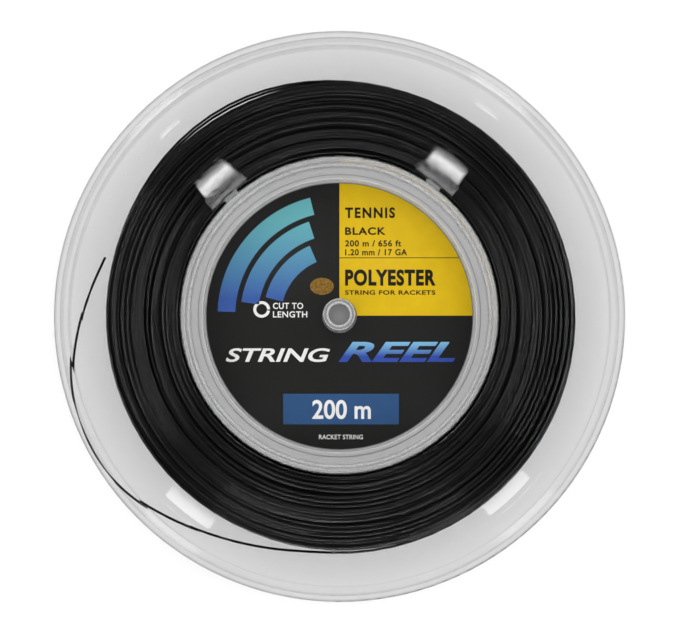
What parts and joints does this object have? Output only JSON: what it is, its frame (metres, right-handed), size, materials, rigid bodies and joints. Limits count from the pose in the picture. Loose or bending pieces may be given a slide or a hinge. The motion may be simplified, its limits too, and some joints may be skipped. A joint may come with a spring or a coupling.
{
  "type": "string reel",
  "caption": "Clear moulded reel of black racket string, with an open drum, a hub tube with a spindle bore, a round label card and a loose string end between the flanges.",
  "frame": {"origin": "on the reel's axis, in the plane that the rear flange's flat band rests on", "axes": "+Z along the spindle bore towards the open drum and the label's printed side, +Y towards the label's top, +X to its right"},
  "size_m": [0.265, 0.265, 0.026],
  "materials": {
    "clear_moulding": "polished",
    "black_string": "gloss",
    "printed_card": "satin",
    "gold_foil": "gloss"
  },
  "bodies": {
    "root": {"rear_half": "clear_moulding", "front_half": "clear_moulding", "string_winding": "black_string", "string_tail": "black_string", "label_card": "printed_card", "foil_sticker": "gold_foil"}
  },
  "joints": []
}
